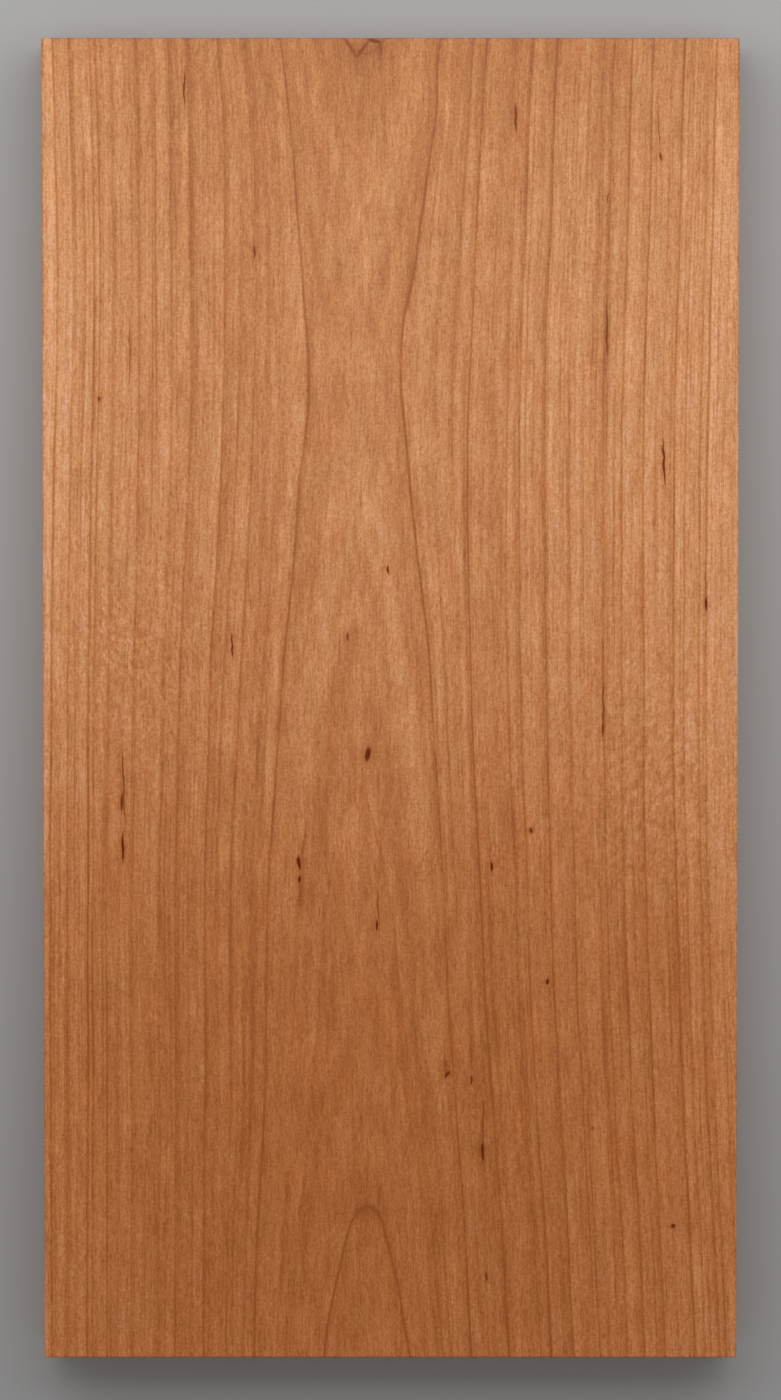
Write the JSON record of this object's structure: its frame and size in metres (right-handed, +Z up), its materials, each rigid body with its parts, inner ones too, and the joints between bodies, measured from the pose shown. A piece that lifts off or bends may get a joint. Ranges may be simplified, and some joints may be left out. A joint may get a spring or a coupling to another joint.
{
  "type": "cherry wood board",
  "caption": "Flat planed cherry board with plain-sawn grain, small gum flecks and lightly eased arrises, lying on its back face.",
  "frame": {"origin": "middle of the back face, which the board lies on", "axes": "+Y along the length and the grain, +X across the width, +Z up through the thickness, out of the show face"},
  "size_m": [0.14, 0.266, 0.019],
  "materials": {
    "cherry": "satin"
  },
  "bodies": {
    "root": {"board": "cherry"}
  },
  "joints": []
}
